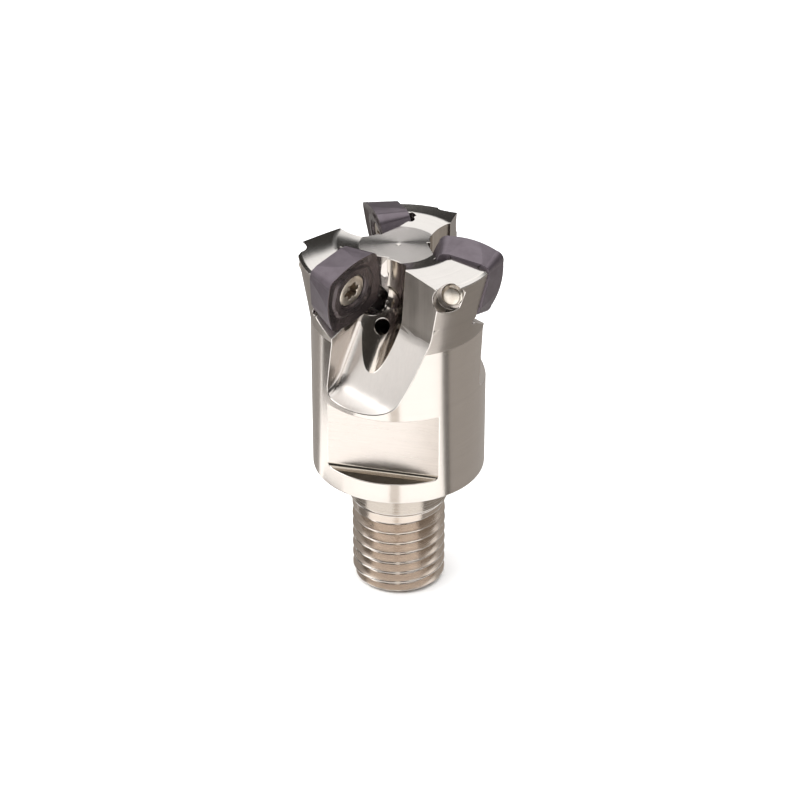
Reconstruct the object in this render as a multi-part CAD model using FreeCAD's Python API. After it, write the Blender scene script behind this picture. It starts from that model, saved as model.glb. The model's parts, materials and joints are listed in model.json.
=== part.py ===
import FreeCAD, Part
import math
import os

from FreeCAD import Placement, Rotation, Vector

os.makedirs("parts", exist_ok=True)

# Screw-in milling head. The origin is the centre of the coupling face, +Z points to the cutting end and the
# wrench flats face +Y and -Y. All lengths are millimetres and all angles are degrees.

# Coupling end: an M16 x 2 stud below a short pilot
THREAD_MAJOR_DIAMETER = 15.86
THREAD_PITCH = 2.0
THREAD_DEPTH = 1.20
THREAD_ROOT_FLAT = 0.36
THREAD_CREST_FLAT = 0.32
THREAD_CUT_OVERSHOOT = 0.3
STUD_LENGTH = 22.8
STUD_END_CHAMFER = 0.9
PILOT_DIAMETER = 17.0
PILOT_LENGTH = 6.2
PILOT_TAPER_LENGTH = 0.7

# Collar and its wrench flats
BODY_DIAMETER = 29.0
BODY_EDGE_CHAMFER = 0.15
FLARE_START_HEIGHT = 27.8
FLATS_ACROSS = 22.0
FLATS_BOTTOM = 3.7
FLATS_TOP = 15.7
FLATS_CORNER_RADIUS = 0.8

# Cutting end, a turned profile that the flutes divide into teeth
RIM_DIAMETER = 32.8
RIM_HEIGHT = 39.6
LAND_DIAMETER = 31.8
LAND_HEIGHT = 40.05
CREST_DIAMETER = 20.8
CREST_HEIGHT = 41.5
CREST_RADIUS = 1.6
HUB_DIAMETER = 13.0
HUB_HEIGHT = 40.6
CENTRE_POINT_DIAMETER = 0.7
CENTRE_POINT_DEPTH = 0.25

# Teeth
TOOTH_COUNT = 3
FIRST_TOOTH_AZIMUTH = 243.1

# Square positive insert and where its rake face sits
INSERT_SIDE = 11.08
INSERT_THICKNESS = 5.46
INSERT_RELIEF = 12.7
INSERT_CORNER_RADIUS = 1.65
INSERT_BACK_CORNER_RADIUS = 0.9
INSERT_SIDE_BULGE = 0.55
INSERT_FACET_BACK_SIDE = 9.02
INSERT_FACET_RELIEF = 16.3
INSERT_CENTRE_RADIUS = 10.96
INSERT_CENTRE_HEIGHT = 36.29
RADIAL_RAKE = 2.25
AXIAL_RAKE = 8.83
LEAD_ANGLE = 12.07

# Chipbreaker pressed into the rake face
EDGE_LAND = 0.28
BREAKER_WIDTH = 1.2
BREAKER_DEPTH = 0.42
RING_SIDE = 7.6
RING_CORNER_RADIUS = 2.2
RING_RECESS = 0.14
RING_SLOPE = 0.45
BOSS_DIAMETER = 6.7
BOSS_RECESS = 0.26

# M3.5 clamp screw with a six-lobe recess
SCREW_DIAMETER = 3.4
SCREW_HEAD_DIAMETER = 5.5
SCREW_HEAD_CHAMFER = 0.18
SCREW_HEAD_RIM = 0.35
SCREW_HEAD_CONE = 1.6
SCREW_HEAD_RECESS = 0.55
SCREW_LENGTH = 10.75
SCREW_NECK_DIAMETER = 2.9
SCREW_NECK_CHAMFER = 0.3
SCREW_TIP_DIAMETER = 2.6
SCREW_TIP_CHAMFER = 0.5
LOBE_CIRCLE_RADIUS = 1.12
LOBE_RADIUS = 0.46
LOBE_COUNT = 6
RECESS_DEPTH = 1.5
HEAD_CLEARANCE = 0.05
HOLE_MOUTH_CLEARANCE = 0.28
INSERT_HOLE_DIAMETER = 4.1
TAPPED_HOLE_DIAMETER = 3.5

# Pocket that holds the insert
POCKET_CLEARANCE = 0.04
POCKET_CORNER_RADIUS = 1.0
POCKET_ROOT_RELIEF_RADIUS = 0.6
POCKET_ROOT_RELIEF_INSET = 0.2
OUTER_WALL_RELIEF_ANGLE = 10.8
POCKET_REACH = 14.0
POCKET_HEADROOM = 1.4
POCKET_BALL_RADIUS = 2.6
POCKET_BALL_OFFSET = 5.9
POCKET_BALL_ACROSS = -0.55
POCKET_BALL_HEIGHT = 32.7
SCREW_END_FACE_DIAMETER = 4.8
SCREW_END_FACE_SHIFT = 0.2
SCREW_END_FACE_DEPTH = 10.3

# Chip flute in front of each insert, in the flute's own axes: u points out of the flute floor, s runs across
# the floor away from the flute wall, and z is the cutter's axis
FLOOR_FALL = 6.9
FLOOR_OFFSET = 7.3
FLOOR_STRAIGHT_END = 33.0
FLOOR_SLOPE = 19.0
FLOOR_BLEND_RADIUS = 12.0
RUNOUT_START_HEIGHT = 20.4
RUNOUT_RADIUS = 6.0
FLUTE_REACH = 24.0
FLUTE_TOP = 50.0
WALL_SETBACK = 0.5
ROOT_RADIUS = 1.4

# Round-bottomed gullet milled in the root of the flute
GULLET_RADIUS = 4.44
GULLET_OFFSET = 9.03
GULLET_ACROSS = 2.76
GULLET_TILT = 4.5
GULLET_BEND_HEIGHT = 32.42
GULLET_SLOPE = 32.0
GULLET_RUN = 9.5
CHANNEL_RADIUS = 2.4
CHANNEL_OFFSET = 6.2
CHANNEL_ACROSS = 2.55
CHANNEL_BEND_HEIGHT = 33.8
CHANNEL_SLOPE = 30.3
CHANNEL_RUN = 11.6

# Vertical clearance between the insert's inner side and the hub, in the flute's axes
SIDE_RELIEF_NEAR_OFFSET = 4.38
SIDE_RELIEF_NEAR_ACROSS = 1.66
SIDE_RELIEF_END_OFFSET = 7.7
SIDE_RELIEF_END_ACROSS = -5.8
SIDE_RELIEF_BACK_OFFSET = 8.75
SIDE_RELIEF_BACK_ACROSS = -5.5
SIDE_RELIEF_BOTTOM = 37.0

# Coolant passages
COOLANT_BORE_DIAMETER = 6.0
COOLANT_BORE_TOP = 20.5
COOLANT_BORE_TIP = 1.7
COOLANT_BRANCH_DIAMETER = 2.6
COOLANT_BRANCH_START = 21.0
COOLANT_EXIT_OFFSET = 6.0
COOLANT_EXIT_ACROSS = 1.75
COOLANT_EXIT_HEIGHT = 28.4
COOLANT_BRANCH_OVERRUN = 1.6

ORIGIN = Vector(0, 0, 0)
X_AXIS = Vector(1, 0, 0)
Y_AXIS = Vector(0, 1, 0)
Z_AXIS = Vector(0, 0, 1)
MATCH_TOLERANCE = 0.01
CUT_MARGIN = 1.0


def save(shape, name):
    """Writes one node as a STEP file."""
    shape.exportStep(os.path.join("parts", name + ".step"))


def placed(shape, placement):
    moved = shape.copy()
    moved.Placement = placement.multiply(shape.Placement)
    return moved


def revolved(outline):
    """Turns a closed outline of (radius, height) points about Z."""
    points = [Vector(radius, 0, height) for radius, height in outline]
    face = Part.Face(Part.makePolygon(points + [points[0]]))
    return face.revolve(ORIGIN, Z_AXIS, 360)


def capsule(start, direction, length, radius):
    """Path of a ball-nosed cutter: a cylinder with a ball at each end."""
    rod = Part.makeCylinder(radius, length, start, direction)
    end = start + direction * length
    return rod.fuse([Part.makeSphere(radius, start), Part.makeSphere(radius, end)])


def square(half, height):
    corners = [
        Vector(-half, -half, height),
        Vector(half, -half, height),
        Vector(half, half, height),
        Vector(-half, half, height),
    ]
    return Part.makePolygon(corners + [corners[0]])


def tooth_azimuth(index):
    return FIRST_TOOTH_AZIMUTH + index * 360.0 / TOOTH_COUNT


def flute_placement(index):
    """Axes u, s and z of the flute in front of a tooth."""
    return Placement(ORIGIN, Rotation(Z_AXIS, tooth_azimuth(index)))


def insert_placement(index, lead=LEAD_ANGLE):
    """Axes of an insert: x out along its top edge, y towards the shank, z out of its rake face."""
    azimuth = tooth_azimuth(index)
    turn = Rotation(Z_AXIS, azimuth - RADIAL_RAKE)
    turn = turn.multiply(Rotation(X_AXIS, -90.0 - AXIAL_RAKE))
    turn = turn.multiply(Rotation(Z_AXIS, lead))
    angle = math.radians(azimuth)
    centre = Vector(math.cos(angle), math.sin(angle), 0) * INSERT_CENTRE_RADIUS
    centre.z = INSERT_CENTRE_HEIGHT
    return Placement(centre, turn)


def turned_blank():
    """The whole head as it leaves the lathe, before threading and milling."""
    stud = THREAD_MAJOR_DIAMETER / 2
    pilot = PILOT_DIAMETER / 2
    body = BODY_DIAMETER / 2
    return revolved([
        (0, -STUD_LENGTH),
        (stud - STUD_END_CHAMFER, -STUD_LENGTH),
        (stud, -STUD_LENGTH + STUD_END_CHAMFER),
        (stud, -PILOT_LENGTH - PILOT_TAPER_LENGTH),
        (pilot, -PILOT_LENGTH),
        (pilot, 0),
        (body - BODY_EDGE_CHAMFER, 0),
        (body, BODY_EDGE_CHAMFER),
        (body, FLARE_START_HEIGHT),
        (RIM_DIAMETER / 2, RIM_HEIGHT),
        (LAND_DIAMETER / 2, LAND_HEIGHT),
        (CREST_DIAMETER / 2, CREST_HEIGHT),
        (HUB_DIAMETER / 2, HUB_HEIGHT),
        (CENTRE_POINT_DIAMETER / 2, HUB_HEIGHT),
        (0, HUB_HEIGHT - CENTRE_POINT_DEPTH),
    ])


def rounded_crest(blank):
    """Rounds the circular crest between the hub's ramp and the land."""
    crest = [
        edge for edge in blank.Edges
        if abs(edge.BoundBox.ZMin - CREST_HEIGHT) < MATCH_TOLERANCE
        and edge.BoundBox.ZLength < MATCH_TOLERANCE
    ]
    return blank.makeFillet(CREST_RADIUS, crest)


def thread_groove():
    """Helical groove between the turns of the stud's thread."""
    major = THREAD_MAJOR_DIAMETER / 2
    root = major - THREAD_DEPTH
    outside = major + THREAD_CUT_OVERSHOOT
    half_root = THREAD_ROOT_FLAT / 2
    half_mouth = (THREAD_PITCH - THREAD_CREST_FLAT) / 2
    half_outside = half_mouth + (half_mouth - half_root) * THREAD_CUT_OVERSHOOT / THREAD_DEPTH
    height = STUD_LENGTH - PILOT_LENGTH - PILOT_TAPER_LENGTH + THREAD_PITCH / 2
    helix = Part.makeLongHelix(THREAD_PITCH, height, major)
    corners = [
        Vector(root, 0, -half_root),
        Vector(root, 0, half_root),
        Vector(outside, 0, half_outside),
        Vector(outside, 0, -half_outside),
    ]
    section = Part.makePolygon(corners + [corners[0]])
    groove = Part.Wire(helix.Edges).makePipeShell([section], True, True)
    groove.translate(Vector(0, 0, -STUD_LENGTH - THREAD_PITCH))
    return groove


def wrench_flat(side):
    """Material outside one wrench flat, with the milling cutter's radius along its lower ledge."""
    height = FLATS_TOP - FLATS_BOTTOM
    block = Part.makeBox(BODY_DIAMETER, BODY_DIAMETER / 2, height,
                         Vector(-BODY_DIAMETER / 2, FLATS_ACROSS / 2, FLATS_BOTTOM))
    ledge = [
        edge for edge in block.Edges
        if edge.BoundBox.XLength > BODY_DIAMETER / 2
        and edge.BoundBox.YMax < FLATS_ACROSS / 2 + MATCH_TOLERANCE
        and edge.BoundBox.ZMax < FLATS_BOTTOM + MATCH_TOLERANCE
    ]
    block = block.makeFillet(FLATS_CORNER_RADIUS, ledge)
    return placed(block, Placement(ORIGIN, Rotation(Z_AXIS, 90.0 - 90.0 * side)))


def flute_outline():
    """Section of the flute in its u-z plane: straight floor, blend, slope and round run-out."""
    slope = math.radians(FLOOR_SLOPE)
    half = slope / 2
    blend_u = FLOOR_OFFSET + FLOOR_BLEND_RADIUS
    blend_end = Vector(blend_u - FLOOR_BLEND_RADIUS * math.cos(slope), 0,
                       FLOOR_STRAIGHT_END - FLOOR_BLEND_RADIUS * math.sin(slope))
    blend_middle = Vector(blend_u - FLOOR_BLEND_RADIUS * math.cos(half), 0,
                          FLOOR_STRAIGHT_END - FLOOR_BLEND_RADIUS * math.sin(half))
    slope_drop = blend_end.z - RUNOUT_START_HEIGHT
    slope_end = Vector(blend_end.x + slope_drop * math.tan(slope), 0, RUNOUT_START_HEIGHT)
    centre = slope_end + Vector(math.cos(slope), 0, math.sin(slope)) * RUNOUT_RADIUS
    middle_angle = (math.pi + slope + 1.5 * math.pi) / 2
    runout_middle = centre + Vector(math.cos(middle_angle), 0, math.sin(middle_angle)) * RUNOUT_RADIUS
    runout_end = centre - Z_AXIS * RUNOUT_RADIUS
    top = Vector(FLOOR_OFFSET, 0, FLUTE_TOP)
    straight_end = Vector(FLOOR_OFFSET, 0, FLOOR_STRAIGHT_END)
    outer_bottom = Vector(FLUTE_REACH, 0, runout_end.z)
    outer_top = Vector(FLUTE_REACH, 0, FLUTE_TOP)
    return Part.Wire([
        Part.LineSegment(top, straight_end).toShape(),
        Part.Arc(straight_end, blend_middle, blend_end).toShape(),
        Part.LineSegment(blend_end, slope_end).toShape(),
        Part.Arc(slope_end, runout_middle, runout_end).toShape(),
        Part.LineSegment(runout_end, outer_bottom).toShape(),
        Part.LineSegment(outer_bottom, outer_top).toShape(),
        Part.LineSegment(outer_top, top).toShape(),
    ])


def flute_roots(space, wall_frame, flute_frame):
    """Edges where the flute's floor meets its wall."""
    to_wall = wall_frame.inverse()
    to_flute = flute_frame.inverse()
    roots = []
    for edge in space.Edges:
        points = edge.discretize(3)
        off_wall = max(abs(to_wall.multVec(point).z + WALL_SETBACK) for point in points)
        middle = to_flute.multVec(points[1])
        inside = middle.x < FLUTE_REACH - RUNOUT_RADIUS and middle.z < FLUTE_TOP - CUT_MARGIN
        if off_wall < MATCH_TOLERANCE and inside:
            roots.append(edge)
    return roots


def flute(index):
    """Chip space bounded by the floor on the next tooth's back and by the wall under the insert."""
    flute_frame = flute_placement(index)
    wall_frame = insert_placement(index, 0.0)
    fall = math.radians(FLOOR_FALL)
    along = Vector(0, math.cos(fall), -math.sin(fall))
    section = Part.Face(flute_outline())
    section.translate(along * -FLUTE_REACH)
    space = placed(section.extrude(along * 2 * FLUTE_REACH), flute_frame)
    size = 2 * FLUTE_REACH
    ahead = Part.makeBox(2 * size, 2 * size, size, Vector(-size, -size, -WALL_SETBACK))
    space = space.common(placed(ahead, wall_frame))
    return space.makeFillet(ROOT_RADIUS, flute_roots(space, wall_frame, flute_frame))


def gullet(index):
    """Round groove that follows the flute's root down and then turns outward."""
    tilt = math.radians(GULLET_TILT)
    bend = Vector(GULLET_OFFSET, GULLET_ACROSS, GULLET_BEND_HEIGHT)
    up = Vector(0, math.sin(tilt), math.cos(tilt))
    slope = math.radians(GULLET_SLOPE)
    down = Vector(math.sin(slope), 0, -math.cos(slope))
    groove = Part.makeCylinder(GULLET_RADIUS, FLUTE_TOP - GULLET_BEND_HEIGHT, bend, up)
    groove = groove.fuse(capsule(bend, down, GULLET_RUN, GULLET_RADIUS))
    slope = math.radians(CHANNEL_SLOPE)
    down = Vector(math.sin(slope), 0, -math.cos(slope))
    start = Vector(CHANNEL_OFFSET, CHANNEL_ACROSS, CHANNEL_BEND_HEIGHT)
    groove = groove.fuse(capsule(start, down, CHANNEL_RUN, CHANNEL_RADIUS))
    return placed(groove, flute_placement(index))


def side_relief(index):
    """Vertical cut that clears the insert's inner side and its back corner."""
    bottom = SIDE_RELIEF_BOTTOM
    near = Vector(SIDE_RELIEF_NEAR_OFFSET, SIDE_RELIEF_NEAR_ACROSS, bottom)
    end = Vector(SIDE_RELIEF_END_OFFSET, SIDE_RELIEF_END_ACROSS, bottom)
    back = Vector(SIDE_RELIEF_BACK_OFFSET, SIDE_RELIEF_BACK_ACROSS, bottom)
    outer_near = Vector(SIDE_RELIEF_BACK_OFFSET, SIDE_RELIEF_NEAR_ACROSS, bottom)
    outline = Part.makePolygon([near, end, back, outer_near, near])
    cut = Part.Face(outline).extrude(Z_AXIS * (FLUTE_TOP - bottom))
    return placed(cut, flute_placement(index))


def corner_ball(index):
    """Round clearance for the insert's lower inner corner."""
    centre = Vector(POCKET_BALL_OFFSET, POCKET_BALL_ACROSS, POCKET_BALL_HEIGHT)
    return placed(Part.makeSphere(POCKET_BALL_RADIUS, centre), flute_placement(index))


def coolant_branch(index):
    """Hole from the central bore up into the gullet."""
    start = Vector(0, 0, COOLANT_BRANCH_START)
    end = Vector(COOLANT_EXIT_OFFSET, COOLANT_EXIT_ACROSS, COOLANT_EXIT_HEIGHT)
    direction = end - start
    length = direction.Length + COOLANT_BRANCH_OVERRUN
    hole = Part.makeCylinder(COOLANT_BRANCH_DIAMETER / 2, length, start, direction)
    return placed(hole, flute_placement(index))


def coolant_bore():
    bore = COOLANT_BORE_DIAMETER / 2
    return revolved([
        (0, -STUD_LENGTH - CUT_MARGIN),
        (bore, -STUD_LENGTH - CUT_MARGIN),
        (bore, COOLANT_BORE_TOP),
        (0, COOLANT_BORE_TOP + COOLANT_BORE_TIP),
    ])


def pocket_section(wall, height):
    """Section of the pocket at one height, with the lower wall turned away from the insert's outer half."""
    relieved = wall + POCKET_REACH * math.tan(math.radians(OUTER_WALL_RELIEF_ANGLE))
    corners = [
        Vector(-wall, -POCKET_REACH, height),
        Vector(POCKET_REACH, -POCKET_REACH, height),
        Vector(POCKET_REACH, relieved, height),
        Vector(0, wall, height),
        Vector(-wall, wall, height),
    ]
    return Part.makePolygon(corners + [corners[0]])


def root_reliefs(wall):
    """Round grooves where the seat meets the inner wall and both halves of the lower wall."""
    radius = POCKET_ROOT_RELIEF_RADIUS
    line = wall - POCKET_ROOT_RELIEF_INSET
    seat = -INSERT_THICKNESS
    turned = Rotation(Z_AXIS, OUTER_WALL_RELIEF_ANGLE).multVec(X_AXIS)
    corner = Vector(-line, line, seat)
    middle = Vector(0, line, seat)
    return [
        Part.makeCylinder(radius, POCKET_REACH, corner, -Y_AXIS),
        Part.makeCylinder(radius, line, corner, X_AXIS),
        Part.makeCylinder(radius, POCKET_REACH, middle, turned),
        Part.makeSphere(radius, corner),
        Part.makeSphere(radius, middle),
    ]


def pocket(index):
    """Seat, two locating walls, root reliefs, screw hole and the face around the screw's end."""
    spread = math.tan(math.radians(INSERT_FACET_RELIEF))
    wall = INSERT_FACET_BACK_SIDE / 2 + POCKET_CLEARANCE
    wall_above = wall + (INSERT_THICKNESS + POCKET_HEADROOM) * spread
    space = Part.makeLoft([
        pocket_section(wall, -INSERT_THICKNESS),
        pocket_section(wall_above, POCKET_HEADROOM),
    ], True, True)
    corner = [
        edge for edge in space.Edges
        if edge.BoundBox.XMax < -MATCH_TOLERANCE and edge.BoundBox.YMin > 0
        and edge.BoundBox.ZLength > INSERT_THICKNESS
    ]
    space = space.makeFillet(POCKET_CORNER_RADIUS, corner)
    hole = Part.makeCylinder(TAPPED_HOLE_DIAMETER / 2, SCREW_END_FACE_DEPTH, ORIGIN, -Z_AXIS)
    face_centre = Vector(-SCREW_END_FACE_SHIFT, SCREW_END_FACE_SHIFT, -SCREW_END_FACE_DEPTH)
    end_face = Part.makeCylinder(SCREW_END_FACE_DIAMETER / 2, POCKET_REACH, face_centre, -Z_AXIS)
    cut = space.fuse(root_reliefs(wall) + [hole, end_face])
    return placed(cut, insert_placement(index))


def cutter_body():
    body = rounded_crest(turned_blank())
    body = body.cut(thread_groove())
    body = body.cut([wrench_flat(1), wrench_flat(-1), coolant_bore()])
    for index in range(TOOTH_COUNT):
        body = body.cut(flute(index))
        body = body.cut(gullet(index))
        body = body.cut(side_relief(index))
        body = body.cut(pocket(index))
        body = body.cut(corner_ball(index))
        body = body.cut(coolant_branch(index))
    return body


def bowed_square(half, corner_radius, bulge, height):
    """Square with rounded corners and slightly bowed sides, centred on the insert's axis."""
    edges = []
    reach = half - corner_radius
    diagonal = corner_radius * math.sqrt(0.5)
    for step in range(4):
        turn = Rotation(Z_AXIS, 90.0 * step)
        side_start = turn.multVec(Vector(-reach, -half, height))
        side_middle = turn.multVec(Vector(0, -half - bulge, height))
        side_end = turn.multVec(Vector(reach, -half, height))
        corner_middle = turn.multVec(Vector(reach + diagonal, -reach - diagonal, height))
        corner_end = turn.multVec(Vector(half, -reach, height))
        edges.append(Part.Arc(side_start, side_middle, side_end).toShape())
        edges.append(Part.Arc(side_end, corner_middle, corner_end).toShape())
    return Part.Wire(edges)


def insert_block():
    """Bowed and tapered block with a flat seating facet on each side."""
    half = INSERT_SIDE / 2
    back = half - INSERT_THICKNESS * math.tan(math.radians(INSERT_RELIEF))
    block = Part.makeLoft([
        bowed_square(back, INSERT_BACK_CORNER_RADIUS, INSERT_SIDE_BULGE, -INSERT_THICKNESS),
        bowed_square(half, INSERT_CORNER_RADIUS, INSERT_SIDE_BULGE, 0),
    ], True, True)
    facet_back = INSERT_FACET_BACK_SIDE / 2
    facet_front = facet_back + INSERT_THICKNESS * math.tan(math.radians(INSERT_FACET_RELIEF))
    facets = Part.makeLoft([square(facet_back, -INSERT_THICKNESS), square(facet_front, 0)], True, True)
    return block.common(facets)


def chipbreaker():
    """Material pressed out of the rake face: a groove inside the edge land and a dish round the hole."""
    half = INSERT_SIDE / 2
    groove = Part.makeLoft([
        bowed_square(half - EDGE_LAND - BREAKER_WIDTH, INSERT_BACK_CORNER_RADIUS, INSERT_SIDE_BULGE,
                     -BREAKER_DEPTH),
        bowed_square(half - EDGE_LAND, INSERT_CORNER_RADIUS - EDGE_LAND, INSERT_SIDE_BULGE, 0),
    ], True, True)
    ring = RING_SIDE / 2
    raised = Part.makeLoft([
        bowed_square(ring + RING_SLOPE, RING_CORNER_RADIUS + RING_SLOPE, INSERT_SIDE_BULGE, -BREAKER_DEPTH),
        bowed_square(ring, RING_CORNER_RADIUS, INSERT_SIDE_BULGE, -RING_RECESS),
    ], True, True)
    dish = Part.makeCylinder(BOSS_DIAMETER / 2, BOSS_RECESS, Vector(0, 0, -BOSS_RECESS), Z_AXIS)
    return groove.cut(raised.cut(dish))


def head_profile(clearance, shank_diameter):
    """Rim radius and heights of the screw's head or, with clearance, of the seat it is drawn into."""
    rim = SCREW_HEAD_DIAMETER / 2 + clearance
    cone_top = -SCREW_HEAD_RECESS - SCREW_HEAD_RIM
    steepness = SCREW_HEAD_CONE / (SCREW_HEAD_DIAMETER - SCREW_DIAMETER) * 2
    cone_bottom = cone_top - (rim - shank_diameter / 2) * steepness
    return rim, cone_top, cone_bottom


def insert_hole():
    rim, cone_top, cone_bottom = head_profile(HEAD_CLEARANCE, INSERT_HOLE_DIAMETER)
    mouth = rim + HOLE_MOUTH_CLEARANCE
    hole = INSERT_HOLE_DIAMETER / 2
    return revolved([
        (0, CUT_MARGIN),
        (mouth, CUT_MARGIN),
        (mouth, -BOSS_RECESS),
        (rim, -SCREW_HEAD_RECESS),
        (rim, cone_top),
        (hole, cone_bottom),
        (hole, -INSERT_THICKNESS - CUT_MARGIN),
        (0, -INSERT_THICKNESS - CUT_MARGIN),
    ])


def insert():
    """Carbide insert with its rake face at z = 0 and its seat at z = -thickness."""
    return insert_block().cut([chipbreaker(), insert_hole()])


def six_lobe_recess():
    """Socket of six round lobes in the screw's head."""
    floor = Vector(0, 0, -SCREW_HEAD_RECESS - RECESS_DEPTH)
    height = RECESS_DEPTH + CUT_MARGIN
    core = Part.makeCylinder(LOBE_CIRCLE_RADIUS, height, floor, Z_AXIS)
    lobes = []
    for step in range(LOBE_COUNT):
        angle = math.radians(step * 360.0 / LOBE_COUNT)
        offset = Vector(math.cos(angle), math.sin(angle), 0) * LOBE_CIRCLE_RADIUS
        lobes.append(Part.makeCylinder(LOBE_RADIUS, height, floor + offset, Z_AXIS))
    return core.fuse(lobes)


def clamp_screw():
    """Clamp screw along its own axis, placed as it sits in the insert."""
    rim, cone_top, cone_bottom = head_profile(0, SCREW_DIAMETER)
    top = -SCREW_HEAD_RECESS
    neck = SCREW_NECK_DIAMETER / 2
    shank = SCREW_DIAMETER / 2
    tip = SCREW_TIP_DIAMETER / 2
    end = top - SCREW_LENGTH
    shape = revolved([
        (0, top),
        (rim - SCREW_HEAD_CHAMFER, top),
        (rim, top - SCREW_HEAD_CHAMFER),
        (rim, cone_top),
        (shank, cone_bottom),
        (neck, cone_bottom - SCREW_NECK_CHAMFER),
        (neck, -INSERT_THICKNESS),
        (shank, -INSERT_THICKNESS - SCREW_NECK_CHAMFER),
        (shank, end + SCREW_TIP_CHAMFER),
        (tip, end),
        (0, end),
    ])
    return shape.cut(six_lobe_recess())


save(cutter_body(), "cutter_body")
for number in range(TOOTH_COUNT):
    seat_frame = insert_placement(number)
    save(placed(insert(), seat_frame), "insert_%d" % (number + 1))
    save(placed(clamp_screw(), seat_frame), "clamp_screw_%d" % (number + 1))
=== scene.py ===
import json
import math

import bmesh
import bpy
from mathutils import Matrix, Vector
from mathutils.bvhtree import BVHTree


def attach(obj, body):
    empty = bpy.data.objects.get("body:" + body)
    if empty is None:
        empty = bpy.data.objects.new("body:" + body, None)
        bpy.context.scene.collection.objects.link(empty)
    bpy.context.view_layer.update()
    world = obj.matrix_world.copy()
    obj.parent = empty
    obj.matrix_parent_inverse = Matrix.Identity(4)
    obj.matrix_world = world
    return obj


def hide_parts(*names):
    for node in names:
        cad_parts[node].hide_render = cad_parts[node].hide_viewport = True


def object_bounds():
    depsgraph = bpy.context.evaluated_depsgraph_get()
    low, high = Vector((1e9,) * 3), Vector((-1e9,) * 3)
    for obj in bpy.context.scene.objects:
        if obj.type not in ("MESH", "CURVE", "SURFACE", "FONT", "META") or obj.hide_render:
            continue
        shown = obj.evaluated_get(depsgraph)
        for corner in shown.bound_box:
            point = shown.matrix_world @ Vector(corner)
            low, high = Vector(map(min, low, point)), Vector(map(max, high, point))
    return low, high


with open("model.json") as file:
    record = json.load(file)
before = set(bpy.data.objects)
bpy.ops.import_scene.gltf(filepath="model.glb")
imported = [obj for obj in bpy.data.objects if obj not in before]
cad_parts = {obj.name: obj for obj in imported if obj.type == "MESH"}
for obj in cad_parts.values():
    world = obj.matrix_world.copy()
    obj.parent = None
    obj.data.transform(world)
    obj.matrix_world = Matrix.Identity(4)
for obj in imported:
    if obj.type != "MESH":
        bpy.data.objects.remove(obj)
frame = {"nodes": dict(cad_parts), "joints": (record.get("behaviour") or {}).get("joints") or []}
cad_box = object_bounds()

MM = 0.001

# Camera, in the frame of the head: it looks at a point on the axis a little above the wrench flats
CAMERA_AZIMUTH = math.radians(13.5)
CAMERA_ELEVATION = math.radians(29.807)
CAMERA_DISTANCE = 450.0 * MM
CAMERA_TARGET_HEIGHT = 20.0 * MM
CAMERA_LENS = 122.1
CAMERA_SHIFT = (0.0016, -0.0563)

# Heights and sizes of the head that its finishes follow, in millimetres
PILOT_END = -6.95
PILOT_RADIUS = 8.6
FLARE_START = 27.8
TOP_START = 39.3
HUB_RADIUS = 6.6
COLLAR_RADIUS = 14.5
FLARE_SLOPE = (16.4 - 14.5) / (39.6 - 27.8)
FLAT_DISTANCE = 11.0
FLAT_BOTTOM = 3.7
FLAT_TOP = 15.7
BORE_RADIUS = 3.05
BORE_END = 22.3
FIRST_TOOTH_AZIMUTH = 243.1
TOOTH_COUNT = 3
GULLET_REACH = 4.47
GULLET_FOOT = (9.03, 2.76, 32.42)
GULLET_TILT = math.radians(4.5)
GULLET_SLOPE = math.radians(32.0)
GULLET_RUN = 9.5
CHANNEL_REACH = 2.43
CHANNEL_FOOT = (6.2, 2.55, 33.8)
CHANNEL_SLOPE = math.radians(30.3)
CHANNEL_RUN = 11.6
FLOOR_OFFSET = 7.3

# Reach of the screw seat in an insert, round the screw's axis. The seat inside it is painted dark as shade in
# the gap round the screw.
SEAT_RADIUS = 3.6

# Clamp screw, M3.5 x 0.6, along its own axis from the insert's rake face
SCREW_TOP = -0.55
SCREW_HEAD_RADIUS = 2.75
SCREW_HEAD_RIM = 0.35
SCREW_CONE_END = -2.5
SCREW_RADIUS = 1.7
SCREW_ROOT_RADIUS = 1.36
SCREW_NECK_RADIUS = 1.4
SCREW_THREAD_START = -5.5
SCREW_END = -11.3
SCREW_TIP_RADIUS = 1.3
SCREW_PITCH = 0.6
LOBE_CIRCLE_RADIUS = 1.12
LOBE_RADIUS = 0.46
LOBE_COUNT = 6
RECESS_DEPTH = 1.5
SCREW_SIDES = 120
THREAD_ROWS_PER_TURN = 10
LEAD_ANGLE = math.radians(12.07)

# CAD faces that meet at more than the crease angle keep a crisp border. The steeper edges are rounded, and
# take their own finish or, on the inserts, that of the face beside them.
CREASE_ANGLE = math.radians(2.5)
HEAD_ROUNDED_ANGLE = math.radians(16)
HEAD_EDGE_WIDTH = 0.09
INSERT_ROUNDED_ANGLE = math.radians(14)
INSERT_EDGE_WIDTH = 0.05
FACE_FINISH = -1

# Distances for the copied meshes, in millimetres: corners that are one point, faces too thin to keep, and
# the furthest that a corner of a rounded edge lies from the CAD surface
MERGE_GAP = 0.002
THIN_GAP = 0.0005
STRAY_GAP = 0.06

# Limits that tell the finishes apart: how squarely a patch faces outwards, how near it lies to the turned
# skin, how far a flute's floor leans back, and how deep its run-out goes. The lean splits the flute floor
# into a painted-shade upright part and a painted-light run-out.
FACES_OUTWARDS = 0.97
SKIN_GAP = 0.12
UPRIGHT = 0.12
FLUTE_DEPTH = 2.5

# Direction of the tool marks against the tangent that runs round the axis, as a share of a full turn
ACROSS_THE_MARKS = 0.25


# ---------------------------------------------------------------- materials

def new_material(name):
    material = bpy.data.materials.new(name)
    material.use_nodes = True
    tree = material.node_tree
    return material, tree.nodes, tree.links, tree.nodes["Principled BSDF"]


def math_node(nodes, links, operation, first, second=None):
    node = nodes.new("ShaderNodeMath")
    node.operation = operation
    for socket, value in zip(node.inputs, (first, second)):
        if value is None:
            continue
        if isinstance(value, (int, float)):
            socket.default_value = value
        else:
            links.new(value, socket)
    return node.outputs[0]


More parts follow.
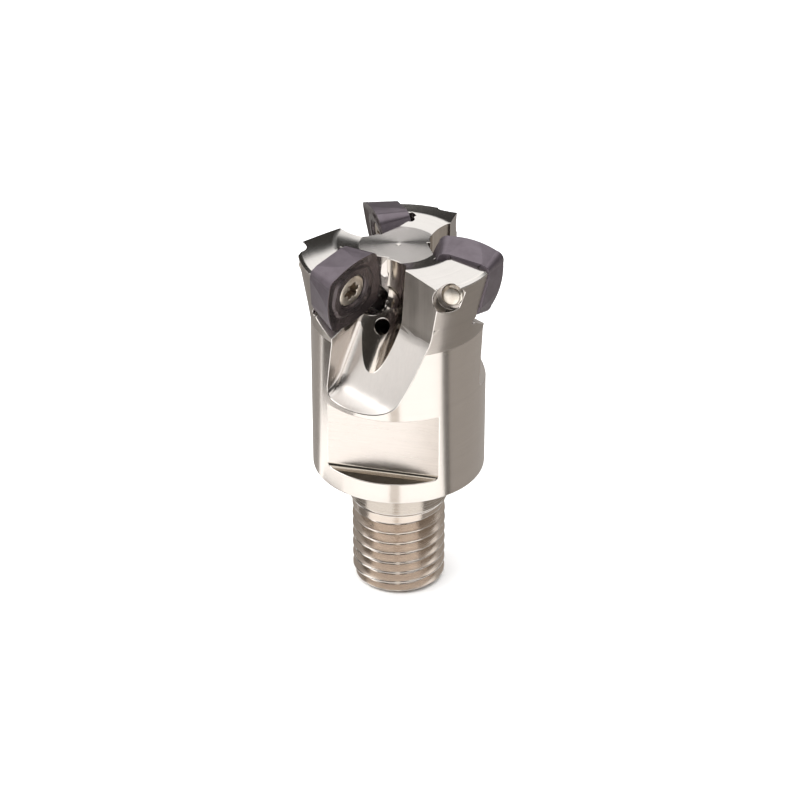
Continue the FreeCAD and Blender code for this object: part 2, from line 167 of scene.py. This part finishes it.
def scaled(nodes, links, vector, scale):
    """Multiplies a vector by three factors: a small one draws the pattern out along that direction."""
    node = nodes.new("ShaderNodeVectorMath")
    node.operation = "MULTIPLY"
    links.new(vector, node.inputs[0])
    node.inputs[1].default_value = scale
    return node.outputs[0]


def place(nodes, links):
    """Position on the object, in millimetres."""
    return scaled(nodes, links, nodes.new("ShaderNodeTexCoord").outputs["Object"], (1000, 1000, 1000))


def turned_place(nodes, links):
    """Position as distance from the head's axis, angle and height, for marks that run round the axis."""
    split = nodes.new("ShaderNodeSeparateXYZ")
    links.new(place(nodes, links), split.inputs[0])
    squares = [math_node(nodes, links, "MULTIPLY", split.outputs[k], split.outputs[k]) for k in (0, 1)]
    radius = math_node(nodes, links, "SQRT", math_node(nodes, links, "ADD", *squares))
    angle = math_node(nodes, links, "ARCTAN2", split.outputs[1], split.outputs[0])
    joined = nodes.new("ShaderNodeCombineXYZ")
    for socket, value in zip(joined.inputs, (radius, angle, split.outputs[2])):
        links.new(value, socket)
    return joined.outputs[0]


def noise(nodes, links, vector, scale, detail=3.0, roughness=0.55):
    node = nodes.new("ShaderNodeTexNoise")
    node.inputs["Scale"].default_value = scale
    node.inputs["Detail"].default_value = detail
    node.inputs["Roughness"].default_value = roughness
    links.new(vector, node.inputs["Vector"])
    return node.outputs["Fac"]


def spread(nodes, links, value, low, high):
    """Stretches the middle of a noise to a range."""
    node = nodes.new("ShaderNodeMapRange")
    node.inputs["From Min"].default_value = 0.3
    node.inputs["From Max"].default_value = 0.7
    node.inputs["To Min"].default_value = low
    node.inputs["To Max"].default_value = high
    links.new(value, node.inputs["Value"])
    return node.outputs["Result"]


def two_tints(nodes, links, value, dark, light):
    ramp = nodes.new("ShaderNodeValToRGB")
    ramp.color_ramp.elements[0].position = 0.32
    ramp.color_ramp.elements[1].position = 0.68
    ramp.color_ramp.elements[0].color = (*dark, 1)
    ramp.color_ramp.elements[1].color = (*light, 1)
    links.new(value, ramp.inputs[0])
    return ramp.outputs[0]


def bumped(nodes, links, shader, height, strength, distance):
    bump = nodes.new("ShaderNodeBump")
    bump.inputs["Strength"].default_value = strength
    bump.inputs["Distance"].default_value = distance * MM
    links.new(height, bump.inputs["Height"])
    links.new(bump.outputs[0], shader.inputs["Normal"])


def darker(tint, factor):
    return tuple(channel * factor for channel in tint)


def steel(name, marks, scale, bump, tint, roughness, variation, turned=False, anisotropy=0.0):
    """Bright steel. marks stretches the tool marks along the cut, and turned runs them round the axis."""
    material, nodes, links, shader = new_material(name)
    where = turned_place(nodes, links) if turned else place(nodes, links)
    cut = noise(nodes, links, scaled(nodes, links, where, marks), scale, 4.0, 0.65)
    wide = noise(nodes, links, scaled(nodes, links, where, darker(marks, 0.18)), scale, 2.0)
    cloud = noise(nodes, links, place(nodes, links), 0.35, 4.0)
    mixed = math_node(nodes, links, "ADD", math_node(nodes, links, "MULTIPLY", cut, 0.5),
                      math_node(nodes, links, "MULTIPLY", wide, 0.3))
    mixed = math_node(nodes, links, "ADD", mixed, math_node(nodes, links, "MULTIPLY", cloud, 0.2))
    shaded = darker(tint, 1.0 - variation * 1.6)
    links.new(two_tints(nodes, links, mixed, shaded, tint), shader.inputs["Base Color"])
    rough = spread(nodes, links, mixed, roughness * (1 - variation * 2), roughness * (1 + variation * 2))
    links.new(rough, shader.inputs["Roughness"])
    shader.inputs["Metallic"].default_value = 1.0
    if anisotropy:
        shader.inputs["Anisotropic"].default_value = anisotropy
        shader.inputs["Anisotropic Rotation"].default_value = ACROSS_THE_MARKS
        tangent = nodes.new("ShaderNodeTangent")
        tangent.direction_type = "RADIAL"
        tangent.axis = "Z"
        links.new(tangent.outputs[0], shader.inputs["Tangent"])
    bumped(nodes, links, shader, cut, bump, 0.02)
    return material


def carbide(name, dark, light, roughness):
    """Hard coating in a dark and a light tint: fine sintered grain, satin sheen and paler worn patches."""
    material, nodes, links, shader = new_material(name)
    where = place(nodes, links)
    grain = noise(nodes, links, where, 9.0, 5.0, 0.7)
    cloud = noise(nodes, links, where, 0.6, 3.0)
    mixed = math_node(nodes, links, "ADD", math_node(nodes, links, "MULTIPLY", grain, 0.45),
                      math_node(nodes, links, "MULTIPLY", cloud, 0.55))
    links.new(two_tints(nodes, links, mixed, dark, light),
              shader.inputs["Base Color"])
    sheen = spread(nodes, links, grain, roughness - 0.05, roughness + 0.05)
    links.new(sheen, shader.inputs["Roughness"])
    shader.inputs["Metallic"].default_value = 0.75
    bumped(nodes, links, shader, grain, 0.18, 0.02)
    return material


def screw_steel(name, dark, light):
    """Warm plated steel with fine all-over grain and soft cloudy patches."""
    material, nodes, links, shader = new_material(name)
    where = place(nodes, links)
    grain = noise(nodes, links, where, 6.0, 5.0, 0.7)
    cloud = noise(nodes, links, where, 1.1, 3.0)
    mixed = math_node(nodes, links, "ADD", math_node(nodes, links, "MULTIPLY", grain, 0.4),
                      math_node(nodes, links, "MULTIPLY", cloud, 0.6))
    links.new(two_tints(nodes, links, mixed, dark, light),
              shader.inputs["Base Color"])
    links.new(spread(nodes, links, grain, 0.26, 0.38), shader.inputs["Roughness"])
    shader.inputs["Metallic"].default_value = 1.0
    bumped(nodes, links, shader, grain, 0.2, 0.02)
    return material


# ---------------------------------------------------------------- head

def capsule_gap(point, start, direction, length):
    """Distance from a point to a straight cutter path."""
    along = max(0.0, min(length, (point - start).dot(direction)))
    return (point - start - direction * along).length


def in_flute(point, index):
    """A point in the axes of one flute: out of its floor, across the floor, and up."""
    turn = Matrix.Rotation(-math.radians(FIRST_TOOTH_AZIMUTH + index * 360.0 / TOOTH_COUNT), 3, "Z")
    return turn @ point


def is_gullet(local):
    up = Vector((0, math.sin(GULLET_TILT), math.cos(GULLET_TILT)))
    down = Vector((math.sin(GULLET_SLOPE), 0, -math.cos(GULLET_SLOPE)))
    along_channel = Vector((math.sin(CHANNEL_SLOPE), 0, -math.cos(CHANNEL_SLOPE)))
    foot = Vector(GULLET_FOOT)
    near_gullet = min(capsule_gap(local, foot, up, FLAT_TOP), capsule_gap(local, foot, down, GULLET_RUN))
    near_channel = capsule_gap(local, Vector(CHANNEL_FOOT), along_channel, CHANNEL_RUN)
    return near_gullet < GULLET_REACH or near_channel < CHANNEL_REACH


def finish_of(centre, normal):
    """Which zone of the head a patch belongs to, from where the patch lies and which way it faces. The flute
    floor is split by facing into an upright zone in painted shade and an up-facing run-out in painted light.
    """
    radius = math.hypot(centre.x, centre.y)
    outward = (centre.x * normal.x + centre.y * normal.y) / max(radius, 0.01)
    if centre.z < PILOT_END:
        return "bore" if radius < BORE_RADIUS and abs(normal.z) < 0.5 else "thread"
    if radius < BORE_RADIUS and centre.z < BORE_END:
        return "bore"
    if centre.z < 0.01:
        return "pilot" if radius < PILOT_RADIUS else "collar"
    flat_band = FLAT_BOTTOM - 0.1 < centre.z < FLAT_TOP + 0.1
    if flat_band and abs(centre.y) > FLAT_DISTANCE - 0.05 and outward < FACES_OUTWARDS:
        return "flat" if abs(normal.z) < 0.1 else "ledge"
    skin = COLLAR_RADIUS + max(0.0, centre.z - FLARE_START) * FLARE_SLOPE
    if outward > FACES_OUTWARDS and abs(radius - skin) < SKIN_GAP:
        return "flare" if centre.z > FLARE_START else "collar"
    if centre.z > TOP_START and normal.z > 0.5:
        return "hub" if radius < HUB_RADIUS else "land"
    if any(is_gullet(in_flute(centre, index)) for index in range(TOOTH_COUNT)):
        return "gullet"
    for index in range(TOOTH_COUNT):
        facing = in_flute(normal, index)
        square = facing.x > 0.2 and abs(facing.y) < 0.5
        if square and in_flute(centre, index).x > FLOOR_OFFSET - FLUTE_DEPTH:
            # Upright floor takes the painted-shade steel, the up-facing run-out the painted-light steel
            return "floor" if normal.z < UPRIGHT else "slope"
    return "pocket"


def head_materials():
    """One steel for each zone of the head. The pilot and bore steels are darkened as painted shade, and the
    flute floor's upright and run-out steels are dark and light copies as painted shade and painted light.
    """
    return {
        "thread": steel("thread steel", marks=(6.0, 0.3, 6.0), scale=2.0, bump=0.20,
                        tint=(0.66, 0.575, 0.50), roughness=0.24, variation=0.12,
                        turned=True),
        # Rough drilled marks are real; the tint is darkened as painted shade inside the bore
        "bore": steel("drilled steel in painted shade", marks=(0.2, 2.0, 5.0), scale=2.0, bump=0.40,
                      tint=(0.36, 0.32, 0.28), roughness=0.40, variation=0.15,
                      turned=True),
        # Same turned steel as the collar, with its tint darkened as painted shade under the collar
        "pilot": steel("pilot steel in painted shade", marks=(7.0, 0.25, 9.0), scale=2.0, bump=0.12,
                       tint=(0.50, 0.445, 0.39), roughness=0.26, variation=0.08,
                       turned=True, anisotropy=0.5),
        "collar": steel("turned steel", marks=(7.0, 0.25, 9.0), scale=2.0, bump=0.12,
                        tint=(0.66, 0.605, 0.555), roughness=0.20, variation=0.06,
                        turned=True, anisotropy=0.5),
        "flare": steel("ground steel", marks=(7.0, 0.6, 5.0), scale=2.0, bump=0.15,
                       tint=(0.46, 0.415, 0.375), roughness=0.34, variation=0.10,
                       turned=True, anisotropy=0.4),
        "flat": steel("milled steel", marks=(0.12, 1.0, 9.0), scale=1.6, bump=0.35,
                      tint=(0.66, 0.60, 0.55), roughness=0.30, variation=0.10),
        "ledge": steel("shoulder steel", marks=(0.3, 3.0, 6.0), scale=1.6, bump=0.15,
                       tint=(0.52, 0.46, 0.39), roughness=0.12, variation=0.10),
        "hub": steel("faced steel", marks=(12.0, 0.35, 2.0), scale=2.2, bump=0.14,
                     tint=(0.66, 0.625, 0.595), roughness=0.21, variation=0.07,
                     turned=True, anisotropy=0.95),
        "land": steel("turned land steel", marks=(12.0, 0.35, 2.0), scale=2.2, bump=0.10,
                      tint=(0.64, 0.61, 0.58), roughness=0.15, variation=0.07,
                      turned=True, anisotropy=0.5),
        "gullet": steel("ball-milled steel", marks=(2.2, 2.2, 0.10), scale=1.4, bump=0.25,
                        tint=(0.60, 0.54, 0.48), roughness=0.15, variation=0.18),
        # The flute floor is one surface split by which way it faces. The upright part gets a dark tint as
        # painted shade and the up-facing run-out a light tint as painted light; the brush marks are real.
        "floor": steel("brushed steel in painted shade", marks=(2.8, 2.8, 0.05), scale=1.8, bump=0.22,
                       tint=(0.42, 0.38, 0.345), roughness=0.34, variation=0.12),
        "slope": steel("run-out steel with painted light", marks=(1.6, 1.6, 0.10), scale=1.6, bump=0.06,
                       tint=(0.72, 0.675, 0.635), roughness=0.32, variation=0.06),
        "pocket": steel("pocket steel", marks=(4.0, 4.0, 0.8), scale=1.6, bump=0.20,
                        tint=(0.62, 0.57, 0.53), roughness=0.22, variation=0.10),
        "edge": steel("deburred steel", marks=(3.0, 3.0, 3.0), scale=1.5, bump=0.10,
                      tint=(0.70, 0.66, 0.62), roughness=0.16, variation=0.08),
    }


def corner_of(face, vertex):
    return next(loop for loop in face.loops if loop.vert == vertex)


def mark_creases(shape, source, rounded_angle):
    """Marks the creases between CAD faces as sharp, and returns the steeper ones."""
    smooth_normal = shape.loops.layers.float_vector.new("smooth_normal")
    for polygon, face in zip(source.polygons, shape.faces):
        for step, loop in enumerate(face.loops):
            loop[smooth_normal] = source.corner_normals[polygon.loop_start + step].vector
    bmesh.ops.remove_doubles(shape, verts=shape.verts, dist=MERGE_GAP * MM)
    steep = []
    for edge in shape.edges:
        first, second = edge.link_faces
        crease = max(
            corner_of(first, vertex)[smooth_normal].angle(corner_of(second, vertex)[smooth_normal], 0.0)
            for vertex in edge.verts
        )
        edge.smooth = crease < CREASE_ANGLE
        if crease > rounded_angle:
            steep.append(edge)
    shape.loops.layers.float_vector.remove(smooth_normal)
    return steep


def settle(shape, surface):
    """Brings corners that the rounding threw off the CAD surface back to it, inside the CAD box."""
    low, high = cad_box
    for vertex in shape.verts:
        nearest, _, _, gap = surface.find_nearest(vertex.co)
        if gap > STRAY_GAP * MM:
            vertex.co = nearest
        vertex.co = [min(max(value, least), most) for value, least, most in zip(vertex.co, low, high)]


def cad_copy(node, name, materials, finish_at, rounded_angle, width, edge_finish):
    """A new closed mesh in the shape of a CAD node, with its steeper edges rounded and all faces finished."""
    source = frame["nodes"][node].data
    shape = bmesh.new()
    shape.from_mesh(source)
    steep = mark_creases(shape, source, rounded_angle)
    for face in shape.faces:
        face.smooth = True
        face.material_index = finish_at(face.calc_center_median() / MM, face.normal)
    surface = BVHTree.FromBMesh(shape)
    bmesh.ops.bevel(shape, geom=steep, offset=width * MM, offset_type="OFFSET", segments=2, profile=0.5,
                    affect="EDGES", clamp_overlap=False, material=edge_finish, harden_normals=False)
    settle(shape, surface)
    bmesh.ops.dissolve_degenerate(shape, edges=shape.edges, dist=THIN_GAP * MM)
    mesh = bpy.data.meshes.new(name)
    shape.to_mesh(mesh)
    shape.free()
    for material in materials:
        mesh.materials.append(material)
    piece = bpy.data.objects.new(name, mesh)
    bpy.context.scene.collection.objects.link(piece)
    even = piece.modifiers.new("even shading", "WEIGHTED_NORMAL")
    even.keep_sharp = True
    return piece


def make_head():
    finishes = head_materials()
    order = list(finishes)
    piece = cad_copy("cutter_body", "milling_head", finishes.values(),
                     lambda centre, normal: order.index(finish_of(centre, normal)),
                     HEAD_ROUNDED_ANGLE, HEAD_EDGE_WIDTH, order.index("edge"))
    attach(piece, "head")
    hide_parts("cutter_body")


# ---------------------------------------------------------------- inserts and screws

def insert_finish(local, facing):
    """Index of flank, rake face or screw seat, from a place and a direction in the insert's own axes. The
    screw seat takes a near-black coating as painted shade in the gap round the screw.
    """
    flank, rake_face, seat = range(3)
    if facing.z > 0.5:
        return rake_face
    return seat if math.hypot(local.x, local.y) < SEAT_RADIUS else flank


def make_insert(number, finishes):
    node = "insert_%d" % number
    into = insert_axes(number).inverted()
    piece = cad_copy(node, "carbide_insert_%d" % number, finishes,
                     lambda centre, normal: insert_finish(into @ (centre * MM) / MM,
                                                          into.to_3x3() @ normal),
                     INSERT_ROUNDED_ANGLE, INSERT_EDGE_WIDTH, FACE_FINISH)
    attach(piece, node)
    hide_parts(node)


def lobed_radius(angle):
    """Outline of the six-lobe recess: the furthest of its round core and its lobes in one direction."""
    reach = LOBE_CIRCLE_RADIUS
    for lobe in range(LOBE_COUNT):
        offset = angle - lobe * 2.0 * math.pi / LOBE_COUNT
        across = LOBE_CIRCLE_RADIUS * math.sin(offset)
        if abs(across) < LOBE_RADIUS and math.cos(offset) > 0:
            outer = LOBE_CIRCLE_RADIUS * math.cos(offset) + math.sqrt(LOBE_RADIUS ** 2 - across ** 2)
            reach = max(reach, outer)
    return reach


def screw_rows():
    """Rings of the screw from the middle of its recess round to its tip, each a radius and a height."""
    rows = []
    floor = SCREW_TOP - RECESS_DEPTH
    for share, drop in ((0.35, 0.28), (0.7, 0.12), (0.94, 0.02)):
        rows.append((lambda angle, share=share: lobed_radius(angle) * share, floor - drop))
    wall = ((0.0, floor + 0.06), (0.0, SCREW_TOP - 0.12), (0.02, SCREW_TOP - 0.04), (0.07, SCREW_TOP))
    for grow, height in wall:
        rows.append((lambda angle, grow=grow: lobed_radius(angle) + grow, height))
    rim = SCREW_HEAD_RADIUS
    plain = [
        (1.9, SCREW_TOP),
        (rim - 0.22, SCREW_TOP),
        (rim - 0.09, SCREW_TOP - 0.04),
        (rim - 0.02, SCREW_TOP - 0.12),
        (rim, SCREW_TOP - 0.20),
        (rim, SCREW_TOP - SCREW_HEAD_RIM),
        (SCREW_RADIUS, SCREW_CONE_END),
        (SCREW_NECK_RADIUS, SCREW_CONE_END - 0.3),
        (SCREW_NECK_RADIUS, SCREW_THREAD_START + 0.1),
    ]
    rows += [(lambda angle, radius=radius: radius, height) for radius, height in plain]
    step = SCREW_PITCH / THREAD_ROWS_PER_TURN
    end = SCREW_END + (SCREW_RADIUS - SCREW_TIP_RADIUS)
    count = int((SCREW_THREAD_START - end) / step)
    for row in range(count + 1):
        height = SCREW_THREAD_START - row * step
        rows.append((lambda angle, height=height: thread_radius(angle, height), height))
    rows.append((lambda angle: SCREW_TIP_RADIUS, SCREW_END + 0.03))
    rows.append((lambda angle: SCREW_TIP_RADIUS - 0.06, SCREW_END))
    return rows


def thread_radius(angle, height):
    """Right-hand thread: crest and root flats joined by straight flanks."""
    turn = (height / SCREW_PITCH - angle / (2.0 * math.pi)) % 1.0
    ramp = min(1.0, max(0.0, abs(turn - 0.5) * 2.9 - 0.25))
    return SCREW_RADIUS - (SCREW_RADIUS - SCREW_ROOT_RADIUS) * ramp


def screw_mesh(name):
    rows = screw_rows()
    verts = [(0.0, 0.0, (rows[0][1] - 0.08) * MM)]
    for radius, height in rows:
        for side in range(SCREW_SIDES):
            angle = side * 2.0 * math.pi / SCREW_SIDES
            reach = radius(angle) * MM
            verts.append((reach * math.cos(angle), reach * math.sin(angle), height * MM))
    verts.append((0.0, 0.0, SCREW_END * MM))
    faces = []
    last = len(verts) - 1
    for side in range(SCREW_SIDES):
        following = (side + 1) % SCREW_SIDES
        faces.append((0, 1 + side, 1 + following))
        for row in range(len(rows) - 1):
            base = 1 + row * SCREW_SIDES
            below = base + SCREW_SIDES
            faces.append((base + side, below + side, below + following, base + following))
        base = 1 + (len(rows) - 1) * SCREW_SIDES
        faces.append((base + side, last, base + following))
    mesh = bpy.data.meshes.new(name)
    mesh.from_pydata(verts, [], faces)
    mesh.polygons.foreach_set("use_smooth", [True] * len(mesh.polygons))
    # Faces inside the six-lobe recess take the second steel, darkened as painted shade
    for polygon in mesh.polygons:
        middle = polygon.center / MM
        inside = math.hypot(middle.x, middle.y) < LOBE_CIRCLE_RADIUS + LOBE_RADIUS
        polygon.material_index = 1 if inside and SCREW_CONE_END < middle.z < SCREW_TOP - 0.05 else 0
    mesh.set_sharp_from_angle(angle=math.radians(40))
    return mesh


def insert_axes(number):
    """Placement of an insert's own axes, from the joint that turns its screw."""
    joint = next(joint for joint in frame["joints"] if joint["name"] == "clamp_screw_%d_turn" % number)
    out = Vector(joint["axis"]).normalized()
    level = out.cross(Vector((0, 0, 1))).normalized()
    down = out.cross(level)
    along = level * math.cos(LEAD_ANGLE) + down * math.sin(LEAD_ANGLE)
    rotation = Matrix((along, out.cross(along), out)).transposed().to_4x4()
    return Matrix.Translation(Vector(joint["pos_m"])) @ rotation


def make_screw(number, finishes):
    node = "clamp_screw_%d" % number
    mesh = screw_mesh("clamp_screw_mesh_%d" % number)
    mesh.transform(insert_axes(number))
    for finish in finishes:
        mesh.materials.append(finish)
    piece = bpy.data.objects.new("six_lobe_screw_%d" % number, mesh)
    bpy.context.scene.collection.objects.link(piece)
    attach(piece, node)
    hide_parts(node)


# ---------------------------------------------------------------- studio

def floor_material():
    material, nodes, links, shader = new_material("pale paper")
    fibre = noise(nodes, links, place(nodes, links), 0.05, 4.0)
    paper = two_tints(nodes, links, fibre, (0.90, 0.90, 0.90), (0.93, 0.93, 0.93))
    links.new(paper, shader.inputs["Base Color"])
    shader.inputs["Roughness"].default_value = 0.9
    shader.inputs["Specular IOR Level"].default_value = 0.1
    return material


def make_floor():
    mesh = bpy.data.meshes.new("floor")
    half = 1.5
    height = cad_box[0].z
    corners = [(-half, -half, height), (half, -half, height), (half, half, height), (-half, half, height)]
    mesh.from_pydata(corners, [], [(0, 1, 2, 3)])
    mesh.materials.append(floor_material())
    floor = bpy.data.objects.new("floor", mesh)
    bpy.context.scene.collection.objects.link(floor)


def direction(azimuth, elevation):
    """Unit vector away from the head: azimuth 0 is towards the camera and positive to the camera's right."""
    turn = CAMERA_AZIMUTH + math.radians(azimuth)
    rise = math.radians(elevation)
    return Vector((math.sin(turn) * math.cos(rise), -math.cos(turn) * math.cos(rise), math.sin(rise)))


def softbox(name, azimuth, elevation, distance, width, height, power, reflected=True):
    """Rectangular lamp turned to the head, seen in the head's reflections only if reflected."""
    data = bpy.data.lights.new(name, "AREA")
    data.shape = "RECTANGLE"
    data.size = width
    data.size_y = height
    data.energy = power
    light = bpy.data.objects.new(name, data)
    away = direction(azimuth, elevation)
    light.location = away * distance + Vector((0, 0, CAMERA_TARGET_HEIGHT))
    light.rotation_mode = "QUATERNION"
    light.rotation_quaternion = away.to_track_quat("Z", "Y")
    light.visible_glossy = reflected
    bpy.context.scene.collection.objects.link(light)


def screen(name, start, end, bottom, top, glow):
    """Grey screen round part of the head, between two radii and heights, seen only in reflections."""
    columns = 32
    base = cad_box[0].z
    verts = []
    for column in range(columns + 1):
        away = direction(start + (end - start) * column / columns, 0.0)
        for radius, height in (bottom, top):
            verts.append((away.x * radius, away.y * radius, base + height))
    faces = [(2 * k, 2 * k + 2, 2 * k + 3, 2 * k + 1) for k in range(columns)]
    mesh = bpy.data.meshes.new(name)
    mesh.from_pydata(verts, [], faces)
    material, nodes, links, shader = new_material(name)
    shader.inputs["Base Color"].default_value = (0, 0, 0, 1)
    shader.inputs["Specular IOR Level"].default_value = 0.0
    shader.inputs["Emission Color"].default_value = (1.0, 0.95, 0.9, 1)
    shader.inputs["Emission Strength"].default_value = glow
    mesh.materials.append(material)
    piece = bpy.data.objects.new(name, mesh)
    for ray in ("camera", "diffuse", "shadow", "transmission", "volume_scatter"):
        setattr(piece, "visible_" + ray, False)
    bpy.context.scene.collection.objects.link(piece)


def make_world():
    """Soft room: bright overhead, dim towards the horizon."""
    world = bpy.data.worlds.new("studio")
    world.use_nodes = True
    nodes = world.node_tree.nodes
    links = world.node_tree.links
    split = nodes.new("ShaderNodeSeparateXYZ")
    links.new(nodes.new("ShaderNodeTexCoord").outputs["Generated"], split.inputs[0])
    ramp = nodes.new("ShaderNodeValToRGB")
    stops = [(0.0, 0.12), (0.18, 0.07), (0.47, 0.05), (0.53, 1.45), (1.0, 1.45)]
    elements = ramp.color_ramp.elements
    while len(elements) < len(stops):
        elements.new(0.5)
    for element, (position, level) in zip(elements, stops):
        element.position = position
        element.color = (level, level, level, 1)
    links.new(split.outputs[2], ramp.inputs[0])
    links.new(ramp.outputs[0], nodes["Background"].inputs[0])
    nodes["Background"].inputs[1].default_value = 1.0
    bpy.context.scene.world = world


def make_camera():
    data = bpy.data.cameras.new("camera")
    data.lens = CAMERA_LENS
    data.shift_x = CAMERA_SHIFT[0]
    data.shift_y = CAMERA_SHIFT[1]
    data.clip_start = 0.01
    data.clip_end = 10.0
    camera = bpy.data.objects.new("camera", data)
    back = direction(0.0, math.degrees(CAMERA_ELEVATION))
    camera.location = Vector((0, 0, CAMERA_TARGET_HEIGHT)) + back * CAMERA_DISTANCE
    camera.rotation_mode = "QUATERNION"
    camera.rotation_quaternion = (-back).to_track_quat("-Z", "Y")
    bpy.context.scene.collection.objects.link(camera)
    bpy.context.scene.camera = camera


def make_studio():
    make_world()
    make_floor()
    softbox("overhead", azimuth=150.0, elevation=66.0, distance=0.6, width=0.6, height=0.45, power=2.1,
            reflected=False)
    softbox("key", azimuth=-50.0, elevation=60.0, distance=0.6, width=0.4, height=0.4, power=2.1,
            reflected=False)
    softbox("side", azimuth=-82.0, elevation=20.0, distance=0.5, width=0.24, height=0.42, power=0.62)
    foot, brim = (0.020, 0.0), (0.055, 0.060)
    screen("front_strip", start=-9.0, end=1.0, bottom=foot, top=brim, glow=1.05)
    screen("right_edge", start=48.0, end=56.0, bottom=foot, top=brim, glow=0.20)
    screen("right_screen", start=56.0, end=185.0, bottom=foot, top=brim, glow=0.46)
    screen("left_screen", start=-175.0, end=-104.0, bottom=foot, top=brim, glow=0.42)
    screen("left_near", start=-104.0, end=-69.0, bottom=(0.010, 0.001), top=(0.040, 0.004), glow=0.22)
    screen("left_far", start=-112.0, end=-55.0, bottom=(0.072, 0.001), top=(0.300, 0.010), glow=0.16)
    screen("front_flag", start=-55.0, end=20.0, bottom=(0.35, 0.10), top=(0.30, 0.40), glow=0.05)
    screen("back_screen", start=100.0, end=260.0, bottom=(0.30, 0.0), top=(0.30, 0.20), glow=0.05)
    bpy.context.scene.view_settings.view_transform = "Standard"


make_camera()
make_head()
coatings_and_seat_shade = [
    carbide("coated flank", dark=(0.120, 0.098, 0.112), light=(0.165, 0.140, 0.158), roughness=0.38),
    carbide("coated rake face", dark=(0.070, 0.056, 0.056), light=(0.110, 0.090, 0.092), roughness=0.27),
    # The seat coating is the flank coating darkened as painted shade in the gap round the screw
    carbide("coated seat in painted shade", dark=(0.040, 0.034, 0.034), light=(0.070, 0.058, 0.058), roughness=0.40),
]
platings_and_recess_shade = [
    screw_steel("plated screw steel", dark=(0.62, 0.56, 0.48), light=(0.82, 0.76, 0.68)),
    # The recess steel is the plating darkened as painted shade inside the six-lobe recess
    screw_steel("recess steel in painted shade", dark=(0.30, 0.25, 0.20), light=(0.52, 0.45, 0.37)),
]
for tooth in range(1, TOOTH_COUNT + 1):
    make_insert(tooth, coatings_and_seat_shade)
    make_screw(tooth, platings_and_recess_shade)
make_studio()
